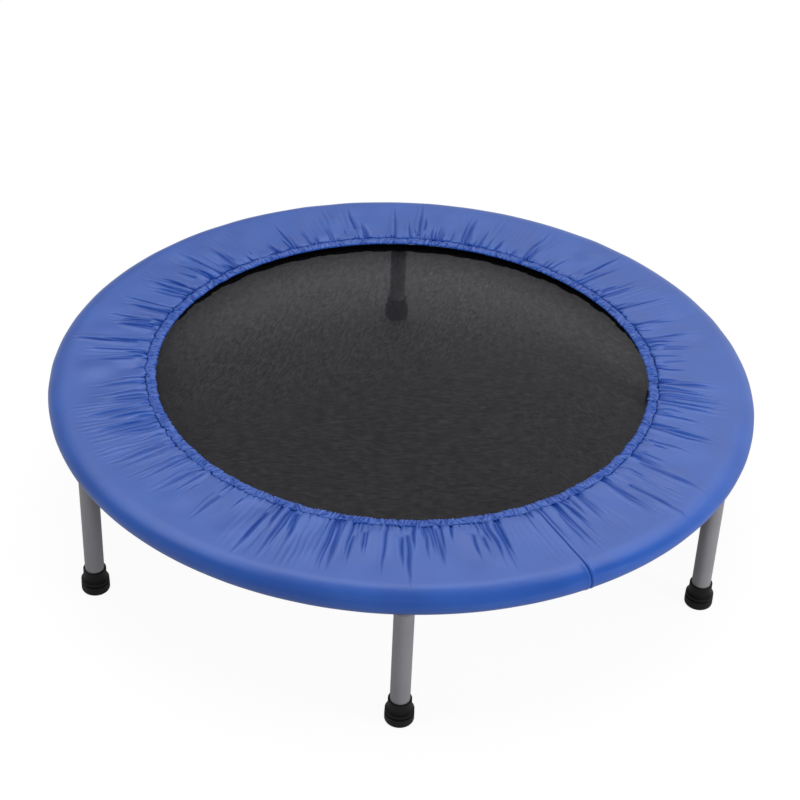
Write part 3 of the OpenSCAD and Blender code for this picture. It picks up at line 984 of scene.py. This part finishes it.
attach(bindingPiece, "mat")
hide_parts("mat_binding")

# Two lines of stitches hold the binding to the mat.
sewn = {"count": 420, "lines": (349.6, 359.5), "sides": 5}
a = np.arange(sewn["count"]) * tau / sewn["count"]
capsules = []
for r in sewn["lines"]:
    fat, bow = stitch["fat"] * 0.8, stitch["bow"] * 0.7
    capsules += stitchLine(a, r, r, high + 0.05, sewn["sides"], fat, bow)
bindThread = piece("bindingStitches", together(capsules), loopLook)
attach(bindThread, "mat")

# Each webbing loop: a strip folded round the ring's bar, its two ends sewn below the binding.
strap = {"bar": 375.0, "half": 11.5, "thick": 0.42}
strapPath = np.vstack([
    [(348.2, -1.62), (352, -1.62), (357, -1.62), (363, -1.6)],
    [(366, -1.35), (369, -0.4), (371, 0.8)],
    arc(strap["bar"], 0, 2.55, 140, -92, 14),
    [(371.5, -2.62), (366, -2.6), (358, -2.6), (353, -2.6), (348.2, -2.6)],
])
ahead = unit(np.gradient(strapPath, axis=0))
half, bevel = strap["half"], strap["half"] - 0.4
rim = np.array([
    (-half, -0.5), (-bevel, -1), (0, -1), (bevel, -1), (half, -0.5),
    (half, 0.5), (bevel, 1), (0, 1), (-bevel, 1), (-half, 0.5),
])
across, level = rim[:, :1], rim[:, 1:] * strap["thick"]
grid = np.stack(np.broadcast_arrays(
    strapPath[:, 0] - ahead[:, 1] * level, across, zMm + strapPath[:, 1] + ahead[:, 0] * level,
), -1)
strapMade = surface(grid, False, pairs(np.append(across, 0), lengths(strapPath, 80)))
loopPiece = piece("webbingLoops", atEachSpring(strapMade), loopLook)
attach(loopPiece, "mat")
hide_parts("webbing_loops")

# Triangular wire rings with rounded corners: arcs joined by straight sides.
triangle = {"corners": [(375.0, -17.0), (375.0, 17.0), (396.0, 0.0)], "bend": 2.2, "wire": 1.6}
corners, wirePath = np.array(triangle["corners"]), []
for k in range(3):
    here = corners[k]
    inA, inB = unit(corners[k - 1] - here), unit(corners[(k + 1) % 3] - here)
    half = np.arccos(inA @ inB) / 2
    middle = here + unit(inA + inB) * triangle["bend"] / np.sin(half)
    first = here + inA * triangle["bend"] / np.tan(half) - middle
    last = here + inB * triangle["bend"] / np.tan(half) - middle
    s = np.linspace(0, 1, 7)[:, None]
    wirePath.append(middle + unit(first * (1 - s) + last * s) * triangle["bend"])
wirePath = np.vstack(wirePath)
wirePath = np.column_stack([wirePath, np.full(len(wirePath), zMm)])
triangles = atEachSpring(tube(wirePath, triangle["wire"], 10, closed=True))
ringPiece = piece("vRings", triangles, wireZinc)
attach(ringPiece, "mat")
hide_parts("v_rings")
print("mat made")

# A spring: an arc as hook, a helix (s, R sin t, R cos t), a knee, and an arc as tip in the ring's
# hole.
spring = {
    "coil": 5.4,
    "wire": 1.0,
    "start": 396.4,
    "end": 443.6,
    "turns": 22,
    "steps": 14,  # to a turn
    "hookAt": 397.19,
    "tip": 3.6,
    "knee": [(-7.2, 0.6, 4.3), (-6.0, 0.2, 2.0), (-5.0, 0, 0.5), (-3.6, 0, 0), (-1.5, 0, 0)],
    "matEnd": 0.3962,  # metres from the middle
    "ringEnd": 0.4458,
}
hookArc = arc(spring["hookAt"], 0, spring["coil"], 236, 100, 12)
hook = np.stack([hookArc[:, 0], np.zeros(12), hookArc[:, 1]], -1)
t = np.linspace(0.06, spring["turns"], spring["turns"] * spring["steps"]) * tau
coil = np.stack([
    spring["start"] + (spring["end"] - spring["start"]) * t / t[-1],
    spring["coil"] * np.sin(t),
    spring["coil"] * np.cos(t),
], -1)
seatX = ringMm - tubeMm
tipArc = arc(seatX, spring["tip"], spring["tip"], -90, 8, 8)
tip = np.stack([tipArc[:, 0], np.zeros(8), tipArc[:, 1]], -1)
wire = np.vstack([hook, coil, np.array(spring["knee"]) + (seatX, 0, 0), tip])
smooth = wire.copy()
for again in range(2):
    smooth[1:-1] = 0.25 * smooth[:-2] + 0.5 * smooth[1:-1] + 0.25 * smooth[2:]
near = np.ones((len(wire), 1))
near[len(hook) + 6:len(hook) + len(coil) - 6] = 0
wire = wire * (1 - near) + smooth * near
wire[:, 2] += zMm
springMade = tube(wire, spring["wire"], 6)
for n in range(springCount):
    k, az = n * legCount // springCount + 1, springAzimuth(n)
    made = piece(f"spring_{n + 1:02d}", spun(springMade, az), springZinc)
    ringEnd, matEnd = (polar(spring[end], az, ringZ) for end in ("ringEnd", "matEnd"))
    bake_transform(made)
    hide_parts(f"spring_set_{k}")
print("springs made")

foot = {"band": 18.7, "collar": 15.1, "height": 36.0, "floor": 5.0, "steps": 96}
b, c, h, low = foot["band"], foot["collar"], foot["height"], foot["floor"]
bore = tubeMm + 0.02
footProfile = np.vstack([
    [(1.5, 0.0), (8, 0.0), (12, 0.0)],
    arc(b - 4, 4, 4, -90, 0, 9),
    [(b, 7.0), (b, 12.6)],
    arc(b - 0.5, 13.0, 0.5, 0, 80, 4),
    [(b - 1.3, 13.7), (b - 1.8, 14.1), (b - 2.0, 14.8), (b - 1.8, 15.5), (b - 1.2, 16.1)],
    arc(b - 1.2, 17.2, 1.0, -60, 0, 5),
    arc(b - 1.5, 18.7, 1.3, 6, 58, 6),
    [(c + 1.8, 20.8), (c + 1.05, 21.9), (c + 0.5, 23.2), (c + 0.18, 24.6)],
    [(c, 26.2), (c, 31.5), (c, h - 1.2)],
    arc(c - 0.9, h - 0.9, 0.9, 0, 90, 6),
    [(tubeMm + 0.35, h - 0.05), (tubeMm + 0.05, h - 0.5), (bore, 24), (bore, 14)],
    [(bore, low + 0.2), (11.5, low), (6, low), (1.5, low)],
])
for k in range(1, legCount + 1):
    at = polar(ringMm, legAzimuth(k), 0)[:2]
    made = piece(f"rubberFoot_{k}", turned(footProfile, foot["steps"], False, at), rubberLook)
    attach(made, f"leg_{k}")
    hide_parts(f"rubber_foot_{k}")
print("feet made")

studio = {
    "floorSize": 8.0,
    "pale": (0.42, 0.42, 0.42, 1),
    "white": 1.17,
    "glow": 0.8,
    "glossGlow": 0.16,
    "farGloss": 0.15,
    "world": 0.36,
    "window": 1.06,
    "aim": (0, 0, 0.15),
    "lamps": [
        ("leftLamp", (-2.5, -1.3, 0.7), 1.1, 14.0),
        ("rightLamp", (1.9, -1.35, 0.5), 0.7, 27.0),
        ("frontLamp", (-0.5, -3.2, 2.4), 2.2, 16.0),
        ("topLamp", (0.0, 0.2, 2.9), 2.4, 34.0),
        ("backLamp", (0.0, 2.9, 2.15), 2.6, 22.0),
    ],
}
half = studio["floorSize"] / 2
corners = [(-half, -half, 0), (half, -half, 0), (half, half, 0), (-half, half, 0)]
floorMesh = bpy.data.meshes.new("floor")
floorMesh.from_pydata(corners, [], [(0, 1, 2, 3)])
floor = placed("floor", floorMesh)
floorLook, tree, shader = material("paleFloor", Base_Color=studio["pale"], Roughness=0.9)
shader.inputs["Specular IOR Level"].default_value = 0.0
# Rays from the camera see the floor glow, but not through another surface. Reflections see it
# dimmer.
direct = ray(tree, "Transparent Depth").math("LESS_THAN", 0.5)
gloss = split(objectPoint(tree))[1].between(0.1, 0.9) * studio["farGloss"] + studio["glossGlow"]
seen = mirroredRay(tree) * gloss + ray(tree, "Is Camera Ray") * direct * studio["glow"]
sockets = {"Color": (1, 1, 1, 1), "Strength": studio["white"]}
mixShaders(seen, shader, node(tree, "ShaderNodeEmission", None, sockets))
floorMesh.materials.append(floorLook)

world = bpy.data.worlds.new("studio")
bpy.context.scene.world = world
world.use_nodes = True
tree = world.node_tree
backdrop = tree.nodes["Background"]
backdrop.inputs["Color"].default_value = (1, 1, 1, 1)
# A broad soft window stands high behind the trampoline, and the rest of the room is dark in
# reflections.
x, y, z = split(node(tree, "ShaderNodeTexCoord"))
high = z.between(0.44, 0.8)
window = high * 1.62 + z.between(0.76, 0.88) * 1.4
window = window + x.between(-0.13, 0.2) * 0.42 * (1 - high) + 0.31
window = window * z.between(0.885, 0.945, 1.0, 0.0) * y.between(-0.1, 0.15)
window = window * studio["window"] + 0.06
lookedAt, mirrored = ray(tree, "Is Camera Ray"), mirroredRay(tree)
strength = lookedAt + mirrored * window + (1 - lookedAt - mirrored) * studio["world"]
link(strength, backdrop, "Strength")

for name, place, size, power in studio["lamps"]:
    lamp = bpy.data.lights.new(name, "AREA")
    lamp.size, lamp.energy = size, power
    holder = placed(name, lamp)
    holder.location = place
    holder.visible_glossy = False
    toAim = Vector(studio["aim"]) - Vector(place)
    holder.rotation_euler = toAim.to_track_quat("-Z", "Y").to_euler()
print("studio lit")
